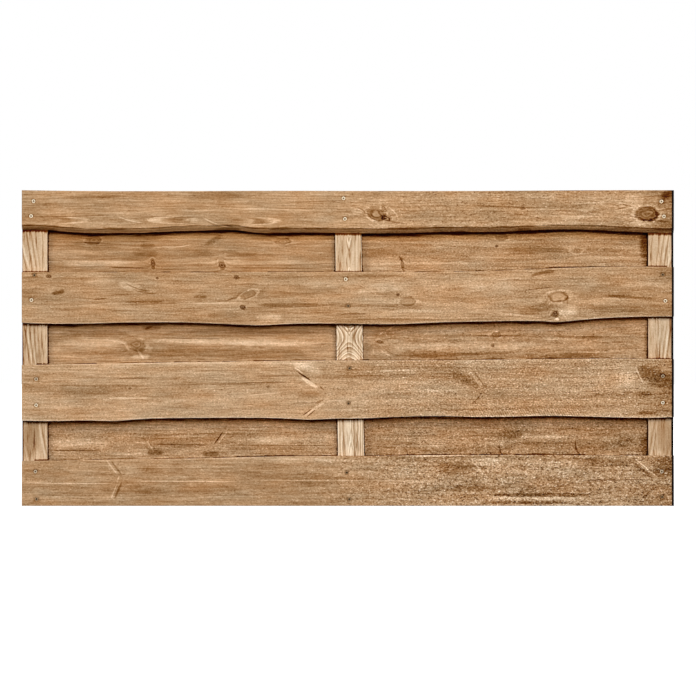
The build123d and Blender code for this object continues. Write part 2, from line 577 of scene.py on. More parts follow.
streakInputs = {"Tone": 0.0, "Torn": 0.0, **markInputs}
streakInputs.update({"Bow": 0.0, "Strength": -20.0, "Ragged": 0.5, "Soft": 0.0})
grainMark = shaderGroup("grainMark", streakInputs, drawMark)


# Flames: nested curves that start at a tip, as a plain-sawn face shows. Sharp 0 is round, 1 pointed.
# Each is a pale line with a dark one inside it.
def drawFlame(tree, wires):
    u, v, _ = parts(placeInMark(tree, wires))
    curve = v * v * v * v * (1.0 - wires["Sharp"]) + v.math("ABSOLUTE") * wires["Sharp"]
    level = (u - curve) * wires["Count"] + wires["Wobble"] * 0.4
    phase = level - level.math("FLOOR")
    pale = ramp(phase, 0.56, 0.16) * ramp(phase, -0.02, 0.08)
    dark = ramp(phase, 0.50, 0.66) * ramp(phase, 1.0, 0.84)
    inside = ramp(level, -0.05, 0.02) * ramp(u, 1.0, 0.5) * ramp(v.math("ABSOLUTE"), 1.5, 1.0)
    return {"Tone": wires["Tone"] + (pale - dark * 0.5) * inside * wires["Strength"]}


flameInputs = {"Tone": 0.0, "Wobble": 0.0, **markInputs, "Count": 2.0, "Sharp": 0.0, "Strength": 24.0}
grainFlame = shaderGroup("grainFlame", flameInputs, drawFlame)


# Growth rings round the pith: a pale line of early wood, then late wood that darkens to a sharp end.
def drawRings(tree, wires):
    grain = wires["Grain"]
    sway = noiseAt(tree, grain, (420, 5000, 5000), wires["Seed"], 1.0) * wires["Sway"] * 4.0
    ripple = noiseAt(tree, grain, (34, 10, 13), wires["Seed"], 2.0) * wires["Ripple"] * 4.0
    along, _, _ = parts(grain)
    _, across, depth = parts(vectorMath(tree, "SUBTRACT", grain, wires["Pith"]))
    sideways = across + sway
    inwards = depth - along * wires["Taper"]
    distance = (sideways * sideways + inwards * inwards).math("SQRT") + wires["Swelling"] + ripple
    years = distance / wires["Ring Width"]
    drift = {"W": years * 0.31, "Scale": 1.0}
    years = years + addWire(tree, "ShaderNodeTexNoise", drift, noise_dimensions="1D") * 1.6
    year = years.math("FLOOR")
    season = years - year
    late = ramp(season, 0.30, 0.88) * ramp(season, 1.0, 0.91)
    early = ramp(season, 0.30, 0.04)
    each = addWire(tree, "ShaderNodeTexWhiteNoise", {"W": year}, noise_dimensions="1D")
    return {"Late Wood": late * (each * 0.8 + 0.35), "Early Wood": early * (1.15 - each * 0.8)}


ringInputs = {"Grain": (0.0, 0.0, 0.0), "Swelling": 0.0, "Pith": (0.0, 0.0, 40.0), "Taper": 0.01}
ringInputs.update({"Sway": 6.0, "Ripple": 0.6, "Ring Width": 4.0, "Seed": 0.0})
growthRings = shaderGroup("growthRings", ringInputs, drawRings)


# Grain size along, across and through the timber, detail, roughness and strength.
# Each ends up around 0, with a spread near 1.
timberNoise = {
    "Fibre": ((90, 5.6, 20), 2.0, 0.95, 26.0),
    "Speckle": ((5.0, 3.4, 6), 1.0, 0.9, 26.0),
    "Strands": ((38, 3.2, 9), 1.0, 0.6, 11.0),
    "Bands": ((800, 24, 70), 2.0, 0.65, 16.0),
    "Clouds": ((150, 55, 60), 2.0, 0.6, 16.0),
    "Hairs": ((9, 0.7, 2.5), 1.0, 0.5, 8.0),
    "Hue": ((130, 45, 50), 2.0, 0.6, 16.0),
}


def drawTexture(tree, wires):
    values = {
        label: noiseAt(tree, wires["Grain"], size, wires["Seed"], detail, roughness) * strength
        for label, (size, detail, roughness, strength) in timberNoise.items()
    }
    speckle, strand = values["Speckle"], values["Strands"]
    values["Speckle"] = speckle * (speckle.math("ABSOLUTE") * 0.35 + 0.6)
    values["Strands"] = ramp(strand, 0.7, 2.0) - ramp(strand, -0.7, -2.0)
    return values


timberTexture = shaderGroup("timberTexture", {"Grain": (0.0, 0.0, 0.0), "Seed": 0.0}, drawTexture)


# Even parallel tool marks in a rectangle, as a planer or a saw leaves them.
def drawToolMarks(tree, wires):
    spot = placeInMark(tree, wires)
    u, v, _ = parts(spot)
    inside = ramp(u.math("ABSOLUTE"), 1.0, 0.8) * ramp(v.math("ABSOLUTE"), 1.0, 0.7)
    along, across, _ = parts(wires["Grain"])
    wave = ((along + across * wires["Slant"]) * (2 * math.pi) / wires["Spacing"]).math("SINE")
    return {"Tone": wires["Tone"] + wave * inside * wires["Strength"]}


toolInputs = {"Tone": 0.0, **markInputs, "Spacing": 6.7, "Slant": 0.58, "Strength": 12.0}
toolMarks = shaderGroup("toolMarks", toolInputs, drawToolMarks)


# Wood colour for a tone, on a straight line through a dark and a pale colour as seen on screen.
def drawColour(tree, wires):
    share = (wires["Tone"] - 75.0) / 125.0
    span = vectorMath(tree, "SUBTRACT", wires["Pale"], wires["Dark"])
    seen = vectorMath(tree, "MULTIPLY_ADD", span, share, wires["Dark"])
    seen = vectorMath(tree, "MULTIPLY_ADD", wires["Hue"], (0.011, -0.001, -0.008), seen)
    # Warmth tints the colour warmer: it paints the colour of shade.
    tint = vectorMath(tree, "MULTIPLY_ADD", wires["Warmth"], (0.04, -0.06, -0.25), (1.0, 1.0, 1.0))
    seen = vectorMath(tree, "MULTIPLY", seen, tint)
    seen = vectorMath(tree, "MAXIMUM", seen, (0.06, 0.035, 0.015))
    return {"Color": addWire(tree, "ShaderNodeGamma", {"Color": seen, "Gamma": 2.2})}


colourInputs = {"Tone": 150.0, "Hue": 0.0, "Warmth": 0.0}
colourInputs.update({"Dark": (0.447, 0.282, 0.125, 1.0), "Pale": (0.890, 0.745, 0.596, 1.0)})
timberColour = shaderGroup("timberColour", colourInputs, drawColour)
print("stage 2: shader groups built,", len(bpy.data.node_groups))


# The finish that all the timbers share. A timber's own dictionary can change any of these.
timberFinish = {
    "tone": (152.0, 152.0),
    "dark": (0.447, 0.282, 0.125, 1.0),
    "pale": (0.890, 0.745, 0.596, 1.0),
    "pith": (360.0, 60.0),
    "taper": 0.008,
    "sway": 7.0,
    "ringWidth": 4.6,
    "knotting": 1.3,  # strength of the knots
    "figure": 2.0,  # strength of the streaks, patches and flames
    "fibre": 4.0,
    # The planed wood at the left turns to rough-sawn wood at the right, between these places.
    # A pair of values is for the left and for the right.
    "roughFrom": (700.0, 1200.0),
    "ripple": (0.7, 1.6),
    "lateWood": (14.0, 18.0),
    "speckle": (2.4, 5.0),
    "strands": (8.0, 7.0),
    "bands": 3.6,
    "clouds": 3.2,
    "hairs": 1.0,
    "hue": 0.5,
    # Each reach is where an effect starts and where it is full, by the mark of the same name.
    # wear and painted highlight: paler arrises, as worn edges and as edges that catch the light
    "wearAndHighlight": 22.0,
    "wearAndHighlightReach": (4.2, 0.8),
    "waneTone": -22.0,
    # painted shade colour on the natural edge, partly the edge's own colour
    "waneWarmth": 0.6,
    "rimTone": (8.0, 42.0),  # near the arris where the natural edge meets the front, and in it; a pale tone there is a painted highlight
    "rimReach": ((10.0, 4.0), (4.2, 1.6)),
    "endFaceTone": -34.0,
    "shadeTone": 0.0,  # painted light in the shade under the front boards; a negative tone paints it darker
    "shadeReach": (29.0, 11.0),
    # painted shade colour: a warmer tint in the shade under the front boards
    "warmReach": (26.0, 4.0),
    "stainsAndShadeDepth": (22.0, 18.0),
    "paintedShade": -140.0,  # painted shade in the sheltered corners
    "paintedShadeReach": 8.5,
    "crackTone": -90.0,
    "endTone": (0.0, -18.0),  # stain near the left and the right end
    "leftEnd": (110.0, 0.0),
    "rightEnd": (1690.0, 1800.0),
    # painted shade: a dark line in the arris of the left and the right end, where it lies, and the
    # depths it ends at
    "endShadeLine": (-32.0, -250.0),
    "leftLine": (3.0, 1.0),
    "rightLine": (1792.8, 1794.8),
    "inFront": (-9.0, -13.0),
}


# The figure of a timber, laid on piece by piece: swells, knots, streaks, patches, flames, tool marks.
# Gives the tone of its stains and painted shade apart, because they lie on one side alone.
def timberFigure(tree, look, grain):
    uneven = place(tree, unevenness, {"Grain": grain})
    torn, wobble = ({label: uneven[label]} for label in ("Torn", "Wobble"))
    figure = {"Swelling": 0.0, "Tone": 0.0, "Calm": 0.0, "Swirl": 0.0}

    def lay(group, centre, size, tilt, **values):
        values.update({"Grain": grain, "Centre": (*centre, 0.0), "Tilt": math.radians(tilt)})
        values["Size"] = (size[0] / 2, size[1] / 2, markDepth)
        return place(tree, group, values)

    def streaks(kind, tone):
        for start, end, thickness, strength, *bow in look.get(kind, []):
            run, rise = end[0] - start[0], end[1] - start[1]
            centre = ((start[0] + end[0]) / 2, (start[1] + end[1]) / 2)
            size, tilt = (math.hypot(run, rise), thickness), math.degrees(math.atan2(rise, run))
            values = {"Tone": tone, "Strength": strength * look["figure"], "Ragged": 0.9, **torn}
            values["Bow"] = 2 * bow[0] / thickness if bow else 0.0
            tone = lay(grainMark, centre, size, tilt, **values)["Tone"]
        return tone

    for centre, size, tilt, swell in look.get("swells", []):
        figure.update(lay(trunkSwell, centre, size, tilt, Swelling=figure["Swelling"], Swell=swell))
    for kx, kz, length, breadth, tilt, *tones, swell in look.get("knots", []):
        values = {**figure, **wobble, "Swell": swell}
        for label, tone in zip(("Body", "Outline", "Core"), tones):
            values[label] = tone * look["knotting"]
        figure.update(lay(woodKnot, (kx, kz), (length, breadth), tilt, **values))
    figure["Tone"] = streaks("lines", figure["Tone"])
    for centre, size, tilt, strength, ragged in look.get("patches", []):
        values = {"Tone": figure["Tone"], "Strength": strength * look["figure"], "Ragged": ragged}
        figure.update(lay(grainMark, centre, size, tilt, **values, **torn))
    for tip, size, tilt, count, sharp, strength in look.get("flames", []):
        values = {"Tone": figure["Tone"], "Strength": strength * look["figure"], "Count": count}
        size = (2 * size[0], size[1])
        figure.update(lay(grainFlame, tip, size, tilt, Sharp=sharp, **values, **wobble))
    for centre, size, spacing, slant, strength in look.get("toolMarks", []):
        values = {"Tone": figure["Tone"], "Strength": strength, "Spacing": spacing, "Slant": slant}
        figure.update(lay(toolMarks, centre, size, 0, **values))
    return figure, streaks("stainsAndShade", 0.0)


def timberMaterial(name, ownLook, upright=False):
    look = {**timberFinish, **ownLook}
    material = bpy.data.materials.new(name)
    material.use_nodes = True
    tree = material.node_tree
    tree.nodes.clear()
    spot = addWire(tree, "ShaderNodeTexCoord", output="Object")
    x, y, z = parts(vectorMath(tree, "MULTIPLY", spot, (1 / mm,) * 3))
    axes = {"X": z, "Y": x, "Z": y} if upright else {"X": x, "Y": z, "Z": y}
    grain = addWire(tree, "ShaderNodeCombineXYZ", axes)
    along = axes["X"]
    figure, stain = timberFigure(tree, look, grain)
    tone, calm, swirl = (figure[label] for label in ("Tone", "Calm", "Swirl"))

    rough = ramp(along, *look["roughFrom"])
    plain, speckle, lateWood, ripple, strands = (
        rough * (look[key][1] - look[key][0]) + look[key][0]
        for key in ("tone", "speckle", "lateWood", "ripple", "strands")
    )
    if isinstance(swirl, Wire):
        lateWood = lateWood * (swirl * 1.6 + 1.0)
    rings = place(tree, growthRings, {
        "Grain": grain, "Swelling": figure["Swelling"], "Pith": (0.0, *look["pith"]),
        "Taper": look["taper"], "Sway": look["sway"], "Ripple": ripple,
        "Ring Width": look["ringWidth"], "Seed": float(look["seed"]),
    })
    texture = place(tree, timberTexture, {"Grain": grain, "Seed": look["seed"] * 3.7})
    marks = {
        label: addWire(tree, "ShaderNodeAttribute", output="Fac", attribute_name=label)
        for label in ("arris", "endGrain", "wane", "crack", "crevice", "rim", "shade")
    }
    # Paler arrises: partly wear, partly a painted highlight where the edges catch the light.
    wearAndHighlight = ramp(marks["arris"] + texture["Fibre"] * 0.6, *look["wearAndHighlightReach"])
    # Painted shade: darker in the sheltered corners, under the boards and beside the battens.
    paintedShade = ramp(marks["crevice"] + texture["Fibre"] * 0.5, look["paintedShadeReach"], 2.5)
    rim = marks["rim"] + texture["Fibre"] * 0.5

    grainTone = texture["Fibre"] * look["fibre"] + texture["Speckle"] * speckle
    grainTone = grainTone + (0.2 - rings["Late Wood"] + rings["Early Wood"] * 0.7) * lateWood
    grainTone = grainTone + texture["Hairs"] * look["hairs"] + texture["Strands"] * strands
    quiet = 1.0 - calm * 0.6 if isinstance(calm, Wire) else 1.0
    tone = grainTone * quiet + tone
    tone = tone + texture["Bands"] * look["bands"] + texture["Clouds"] * look["clouds"] + plain
    tone = tone + wearAndHighlight * look["wearAndHighlight"] + marks["wane"] * look["waneTone"]
    # Cracks darken, and so does the painted shade in the corners.
    tone = tone + marks["crack"] * look["crackTone"] + paintedShade * look["paintedShade"]
    for end, endTone in zip(("leftEnd", "rightEnd"), look["endTone"]):
        tone = tone + ramp(along, *look[end]) * endTone
    # Painted highlight along the lower front arris of the wany front boards, where the tone is pale.
    for reach, rimTone in zip(look["rimReach"], look["rimTone"]):
        tone = tone + ramp(rim, *reach) * rimTone
    # Painted light and shade under the front boards.
    if look["shadeTone"]:
        tone = tone + ramp(marks["shade"], *look["shadeReach"]) * look["shadeTone"]
    # Stains and painted shade, on the front side only.
    if isinstance(stain, Wire):
        tone = tone + stain * ramp(y, *look["stainsAndShadeDepth"])
    endFace = ramp(marks["endGrain"], 0.75, 1.0)
    # Painted shade: a dark line along the arrises of the left and the right end.
    tone = tone + endFace * look["endFaceTone"] + ramp(x, *look["leftLine"]) * look["endShadeLine"][0]
    paintedEndShade = ramp(x, *look["rightLine"]) * (1.0 - endFace) * ramp(y, *look["inFront"])
    tone = tone + paintedEndShade * look["endShadeLine"][1]
    # Painted shade colour: warmer in the shade under the front boards, and on the natural edge, where it
    # is partly the edge's own colour.
    warmth = ramp(marks["shade"], *look["warmReach"])
    warmth = warmth.math("MAXIMUM", marks["wane"] * look["waneWarmth"])
    colour = place(tree, timberColour, {
        "Tone": tone, "Hue": texture["Hue"] * look["hue"], "Warmth": warmth,
        "Dark": look["dark"], "Pale": look["pale"],
    })

    height = texture["Fibre"] * 0.12 + texture["Speckle"] * speckle * 0.02 + rings["Late Wood"] * 0.3
    height = height + texture["Hairs"] * 0.06
    bump = {"Height": height, "Strength": 1.0, "Distance": 0.4 * mm}
    shader = addWire(tree, "ShaderNodeBsdfPrincipled", {
        "Base Color": colour["Color"],
        "Roughness": texture["Speckle"] * 0.03 + 0.78,
        "Specular IOR Level": 0.06,
        "Normal": addWire(tree, "ShaderNodeBump", bump),
    })
    addNode(tree, "ShaderNodeOutputMaterial", {"Surface": shader})
    return material


def makeTimber(name, look, screws=(), screwSide=0, upright=False):
    piece = buildTimber(name, look, screws, screwSide)
    piece.data.materials.append(timberMaterial(name + "_wood", look, upright))
    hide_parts(name)
    print("  ", name, len(piece.data.polygons), "faces")
    return piece


# Along, height, and how far it is sunk below the face
frontScrews = {
    "front_board_top": [
        (33, 406, 0), (26, 365, 0), (888, 414, 0), (892, 357, 0), (1765, 405, 0), (1772, 364, 0),
    ],
    "front_board_upper": [
        (35, 202, 0.8), (27, 133, 0), (894, 191, 0), (901, 117, 0.9),
        (1769, 203, 0.8), (1776, 131, 0),
    ],
    "front_board_lower": [
        (40, -85, 0.3), (40, -157, 0), (905, -55, 1.2), (902, -152, 0.8),
        (1769, -77, 0.5), (1769, -150, 0),
    ],
    "front_board_bottom": [
        (38, -340, 0.3), (41, -416, 0.6), (897, -343, 1.2), (904, -416, 0.8),
        (1766, -340, 0.3), (1767, -410, 0.7),
    ],
}


# Two screws go through each back board into each batten, a little out of line.
def backScrews(name):
    low, high = (np.array(corner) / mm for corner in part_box(name))
    random = np.random.default_rng(int(high[2] - low[2]))
    screws = []
    for batten in ("batten_left", "batten_middle", "batten_right"):
        centre = sum(corner[0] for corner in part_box(batten)) / 2 / mm
        for share in (0.3, 0.78):
            height = low[2] + share * (high[2] - low[2])
            spot = (centre + random.uniform(-6, 6), height + random.uniform(-6, 6))
            screws.append((*spot, random.uniform(0, 1.2)))
    return screws


# In each timber's dictionary:
# knots: along, height, length, breadth, tilt, tone of the body, the outline and the core, swell
# lines: start, end, thickness, tone, and for a bent line its bow
# stainsAndShade: like lines, but on the front side only: stains, and painted shade beside a batten
# patches: centre, size, tilt, tone, raggedness
# flames: tip, size, tilt, count, sharpness, tone
# toolMarks: centre, size, spacing, slant, tone
# swells: centre, size, tilt, how far the growth rings bulge
# cracks: start and end along, height, face

topBoard = {
    "seed": 1,
    "tone": (148.0, 147.0),
    "speckle": (1.6, 3.4),
    "wearAndHighlight": 8.0,
    # Painted light: the natural edge made paler, against the shade it lies in, facing down.
    "waneTone": 10.0,
    "rimTone": (4.0, -74.0),
    "pith": (330.0, 60.0),
    "endTone": (-4.0, -22.0),
    "knots": [
        (978, 371, 50, 32, -24, -32, -34, 46, 8.0),
        (1000, 384, 22, 12, -50, -34, -4, 0, 2.0),
        (1004, 359, 36, 18, -20, -52, -4, 0, 2.0),
        (1725, 371, 58, 36, 0, -26, -56, 0, 6.0),
        (1382, 386, 16, 7, 0, -40, -14, 0, 2.0),
    ],
    "flames": [
        ((346, 354), (170, 26), 0, 1.5, 0.0, 26.0),
        ((712, 351), (110, 24), 180, 1.5, 0.0, 22.0),
        ((188, 353), (110, 20), 180, 1.3, 0.0, 20.0),
        ((1640, 361), (85, 26), 0, 5.0, 1.0, 36.0),
        ((1700, 392), (90, 30), 180, 3.0, 0.6, 20.0),
    ],
    "lines": [
        ((20, 436), (140, 436), 3, -50),
        ((140, 435.5), (900, 435), 2.4, -26),
        ((900, 435), (1790, 436), 2.4, -18),
        ((262, 366), (340, 346), 4, 26, -4),
        ((498, 362), (580, 334), 5, 30, -5),
        ((516, 344), (590, 336), 4, -30),
        ((22, 362), (250, 367), 4, -22),
        ((22, 398), (130, 400), 4, -20),
        ((100, 416), (300, 420), 9, -14),
        ((700, 402), (900, 408), 5, -14),
        ((560, 386), (830, 380), 8, 10),
        ((925, 388), (950, 372), 5, -30, 3),
        ((1010, 390), (1040, 352), 5, 22, 6),
        ((1016, 350), (1060, 344), 4, -34),
        ((1230, 394), (1480, 386), 5, -18),
        ((1500, 398), (1640, 404), 4, 16),
        ((1344, 350), (1474, 342), 6, 16, 3),
        ((1352, 372), (1450, 352), 5, -18, 3),
        ((1680, 356), (1800, 350), 6, -22),
        ((1440, 366), (1650, 364), 4, 18),
    ],
    "patches": [
        ((530, 420), (170, 26), 0, -16, 1.2),
        ((560, 350), (110, 24), 0, -12, 1.4),
        ((927, 378), (36, 22), 0, 14, 1.0),
        ((1690, 410), (60, 34), -20, 16, 0.8),
        ((1782, 424), (44, 30), 30, -38, 0.8),
        ((1700, 345), (40, 22), 0, 12, 0.6),
        ((47, 325), (120, 22), 0, -34, 1.0),
        ((566, 326), (84, 20), 0, -34, 1.0),
        ((1385, 325), (60, 18), 0, -26, 1.0),
        ((1600, 324), (420, 18), 0, -12, 1.0),
    ],
}

upperBoard = {
    "seed": 2,
    "tone": (148.0, 154.0),
    "speckle": (2.2, 3.0),
    "wearAndHighlight": 12.0,
    "pith": (160.0, 75.0),
    "endTone": (0.0, -14.0),
    "knots": [
        (75, 199, 18, 12, 0, -48, -12, 0, 3.0),
        (374, 194, 9, 8, 0, -52, -10, 0, 2.0),
        (593, 196, 15, 12, 0, -55, -16, 0, 3.0),
        (610, 114, 17, 13, -25, -62, -26, 0, 4.0),
        (1038, 148, 10, 8, 20, -60, -12, 0, 2.0),
        (626, 148, 44, 18, 20, -12, -28, 0, 5.0),
        (1065, 130, 40, 24, 0, -6, -22, 0, 4.0),
        (1481, 142, 50, 26, 0, 6, -34, 0, 7.0),
        (1471, 95, 20, 20, 0, -56, -20, 0, 6.0),
        (1477, 81, 12, 8, 0, 60, 10, 0, 0.0),
    ],
    "lines": [
        ((640, 120), (840, 119), 15, -24),
        ((800, 120), (1130, 118), 12, -18),
        ((861, 95), (966, 95), 4, -30),
        ((790, 99), (862, 97), 4, -22),
        ((1380, 160), (1474, 170), 3.5, -34),
        ((1400, 198), (1478, 214), 12, -26, 3),
        ((1440, 118), (1450, 158), 7, -14, -6),
        ((1508, 120), (1516, 158), 7, -12, 6),
        ((1600, 146), (1760, 136), 12, -22),
        ((196, 134), (238, 138), 5, -30),
        ((284, 182), (360, 158), 5, -26, -6),
        ((300, 166), (380, 150), 6, -20, -4),
        ((560, 128), (600, 140), 4, -26, 3),
        ((250, 120), (560, 128), 5, -16),
        ((60, 110), (330, 104), 8, -12),
        ((420, 124), (640, 126), 5, 18),
        ((860, 80), (1400, 78), 8, -14),
        ((1290, 100), (1440, 84), 7, 16),
        ((60, 214), (600, 209), 6, -18),
        ((1120, 206), (1290, 204), 4, -16),
        ((1320, 190), (1500, 186), 4, -14),
    ],
    "patches": [
        ((101, 154), (40, 16), 10, -34, 1.2),
        ((300, 170), (74, 28), -15, 20, 1.2),
        ((216, 186), (90, 22), 0, 10, 1.0),
        ((493, 142), (40, 10), 0, -30, 1.8),
        ((340, 128), (120, 8), 0, -20, 1.8),
        ((560, 92), (100, 26), 0, -14, 1.2),
        ((681, 84), (80, 26), 0, 16, 1.0),
        ((1507, 101), (60, 40), 15, 22, 1.0),
        ((1420, 108), (110, 30), 10, -16, 1.2),
        ((1640, 108), (170, 30), 0, -12, 1.4),
        ((1230, 180), (300, 40), 0, 8, 1.0),
        ((985, 200), (120, 10), 0, -10, 1.0),
    ],
}

lowerBoard = {
    "seed": 3,
    "tone": (160.0, 154.0),
    "speckle": (2.4, 5.2),
    "wearAndHighlight": 24.0,
    "pith": (-128.0, 85.0),
    "endTone": (0.0, -22.0),
    "knots": [
        (299, -111, 10, 7, 20, -42, -14, 0, 2.0),
        (679, -105, 10, 7, 20, -48, -14, 0, 2.0),
    ],
    "lines": [
        ((250, -82), (370, -82), 3.5, -36),
        ((60, -102), (370, -104), 7, -18),
        ((60, -124), (280, -126), 5, -14),
        ((420, -100), (640, -98), 4, -16),
        ((640, -76), (750, -76), 3.5, -32),
        ((596, -95), (748, -93), 4, -32),
        ((228, -137), (366, -137), 3.5, 28),
        ((620, -130), (720, -122), 4, 22),
        ((985, -62), (1101, -60), 4, 26),
        ((850, -74), (1260, -80), 5, -14),
        ((760, -64), (800, -90), 6, -62),
        ((768, -78), (820, -112), 14, 26),
        ((752, -52), (778, -70), 5, 34),
        ((820, -100), (836, -118), 4, -26),
        ((774, -186), (802, -166), 4, -58),
        ((786, -190), (812, -168), 4, -58),
        ((780, -188), (836, -146), 13, 22),
        ((812, -150), (834, -142), 8, -26),
        ((1234, -60), (1272, -114), 5, 20),
        ((1244, -58), (1282, -112), 4, -20),
        ((1272, -112), (1240, -154), 5, -26, 5),
        ((1474, -123), (1673, -113), 3.5, -22),
        ((1300, -128), (1560, -122), 4, 16),
        ((1692, -48), (1716, -100), 5, 28),
        ((1700, -128), (1800, -124), 4, -26),
        ((60, -44), (880, -40), 9, 10),
        ((980, -120), (1200, -116), 4, 14),
    ],
    "patches": [
        ((790, -54), (90, 26), -15, 18, 0.7),
        ((790, -128), (70, 24), 0, -12, 1.2),
        ((1222, -84), (100, 36), -28, -18, 0.5),
        ((1752, -80), (130, 60), -25, -26, 0.5),
        ((1718, -126), (46, 18), 0, -30, 1.0),
        ((1725, -178), (60, 10), 0, -34, 1.8),
        ((1670, -80), (50, 80), 0, 10, 1.0),
        ((180, -118), (300, 10), 0, -12, 1.8),
        ((1420, -104), (330, 14), 0, -12, 1.8),
    ],
    "toolMarks": [((1395, -178), (360, 30), 6.7, 0.58, 20.0)],
}

bottomBoard = {
    "seed": 4,
    "tone": (147.0, 150.0),
    "pith": (-365.0, 90.0),
    "endTone": (0.0, -18.0),
    "speckle": (2.3, 7.8),
    "lines": [
        ((244, -306), (277, -350), 7, -22),
        ((232, -306), (266, -350), 6, 20),
        ((270, -350), (262, -372), 5, 22),
        ((277, -368), (256, -416), 8, -26),
        ((264, -372), (246, -416), 5, 22),
        ((6, -372), (262, -373), 3.5, 26),
        ((283, -366), (610, -368), 4, 26),
        ((585, -364), (1212, -366), 3.5, 22),
        ((1240, -304), (1275, -350), 5, 20),
        ((1252, -304), (1286, -350), 4, -16),
        ((1690, -302), (1756, -358), 5, 34),
        ((1684, -312), (1744, -360), 12, -22),
        ((1706, -420), (1752, -380), 9, -38),
        ((1535, -364), (1752, -362), 3, -44),
        ((1060, -297), (1240, -296), 4, 30),
        ((60, -306), (820, -304), 12, 8),
        ((20, -404), (240, -408), 5, -10),
        ((280, -332), (660, -330), 6, -10),
    ],
    "patches": [
        ((385, -336), (150, 44), 0, -7, 1.0),
        ((330, -394), (130, 34), 0, -5, 1.2),
        ((420, -400), (240, 24), 0, -8, 1.8),
        ((800, -308), (280, 22), 0, 12, 0.8),
        ((1200, -330), (110, 50), 0, -20, 0.5),
        ((1280, -312), (80, 26), 0, 12, 1.0),
        ((1230, -385), (130, 30), 0, -10, 1.2),
        ((1440, -404), (300, 14), 0, -34, 2.6),
        ((1400, -425), (280, 10), 0, -34, 2.6),
        ((1440, -414), (300, 10), 0, 24, 2.6),
        ((1600, -315), (180, 30), 0, -16, 2.6),
        ((1480, -318), (200, 22), 0, 14, 2.4),
        ((1770, -330), (60, 60), 0, -18, 0.8),
    ],
    "toolMarks": [((1745, -325), (70, 66), 5.5, 0.0, 18.0)],
}

backUpper = {
    "seed": 5,
    "tone": (143.0, 146.0),
    "pith": (262.0, 70.0),
    "knots": [
        (360, 234, 12, 26, 8, -46, -22, 0, 5.0),
        (551, 231, 18, 28, 20, -44, -20, 0, 5.0),
        (1051, 233, 10, 34, 10, -36, -22, 0, 4.0),
        (1312, 283, 9, 8, 0, -62, -10, 0, 2.0),
        (195, 299, 40, 22, 0, -18, -22, 0, 5.0),
        (720, 297, 40, 18, 0, -14, -20, 0, 5.0),
        (1326, 307, 34, 16, 0, -16, -24, 0, 5.0),
        (1534, 270, 26, 14, 0, -20, -10, 0, 4.0),
    ],
    "lines": [
        ((100, 234), (330, 238), 22, 16),
        ((236, 224), (356, 222), 4, -38),
        ((380, 282), (470, 288), 4, 22, -4),
        ((130, 294), (250, 290), 5, -22),
        ((560, 224), (830, 222), 4, -18),
        ((450, 240), (830, 236), 16, 10),
        ((560, 262), (820, 256), 8, -8),
        ((940, 238), (1300, 232), 16, 8),
        ((1300, 226), (1700, 222), 7, -14),
        ((1040, 258), (1052, 240), 4, -34),
        ((1230, 252), (1400, 250), 6, 8),
        # painted shadow along the top edge of the upper front board
        ((1440, 224), (1580, 226), 4, -60),
    ],
    # painted shade beside the right batten, partly real stain
    "stainsAndShade": [
        ((1727, 244), (1727, 324), 46, -40),
        ((1727, 210), (1727, 250), 30, -20),
    ],
    "shadeTone": -4.0,
    "patches": [
        ((340, 262), (80, 26), 0, -12, 1.0),
        ((345, 284), (50, 16), 0, -20, 1.6),
        ((500, 258), (70, 30), 0, -8, 1.0),
        ((530, 300), (60, 18), 30, -18, 1.2),
        ((210, 268), (180, 24), 0, 4, 1.6),
        ((1420, 275), (180, 40), 0, -8, 1.2),
    ],
}

backMiddle = {
    "seed": 6,
    "tone": (153.0, 152.0),
    "pith": (4.0, 70.0),
    "shadeTone": 26.0,
    "knots": [
        (314, 10, 46, 30, -15, -20, -16, 0, 7.0),
        (1301, 7, 10, 8, 0, -66, -10, 0, 2.0),
        (1309, 38, 30, 12, 0, -20, -26, 0, 4.0),
        (988, 19, 20, 10, -10, -42, -20, 0, 4.0),
    ],
    "lines": [
        ((90, 16), (300, 16), 26, 20),
        ((330, 20), (860, 14), 24, 22),
        ((90, -12), (860, -14), 30, -16),
        ((90, 42), (300, 44), 20, -12),
        ((380, 44), (860, 46), 16, -14),
        ((960, -16), (1700, -22), 26, -14),
        ((1060, 10), (1700, 6), 26, 10),
        ((1240, 35), (1400, 34), 3.5, -30),
        ((1400, 32), (1720, 33), 4, -16),
        ((985, 36), (1004, 50), 4, 24),
        ((1004, 48), (1034, 64), 5, 26),
        ((1002, 48), (1010, 30), 4, 22),
        ((990, -2), (1030, -22), 5, 22, -5),
        ((1000, 2), (1040, -18), 4, -20, -5),
        ((316, -2), (336, -30), 8, 22),
        ((90, 34), (280, 33), 3.5, -20),
        ((336, 52), (360, 62), 8, -34),
        ((430, 40), (600, 48), 5, 14),
        ((1620, 18), (1700, 18), 5, -22),
    ],
    # painted shade beside the right batten, partly real stain
    "stainsAndShade": [((1728, -30), (1728, 70), 22, -16)],
    "patches": [
        ((690, 12), (300, 16), 0, 6, 1.2),
        ((326, -24), (60, 20), 0, 20, 0.8),
        ((356, 58), (60, 18), 0, -22, 1.2),
        ((994, 40), (70, 40), 0, -8, 1.4),
        ((1100, 4), (180, 22), 0, 12, 1.4),
        ((1570, 30), (100, 12), 0, -14, 1.8),
        ((1540, -18), (120, 16), 0, -16, 1.4),
    ],
    "cracks": [(377, 595, 32, "front"), (768, 860, 18, "front")],
}

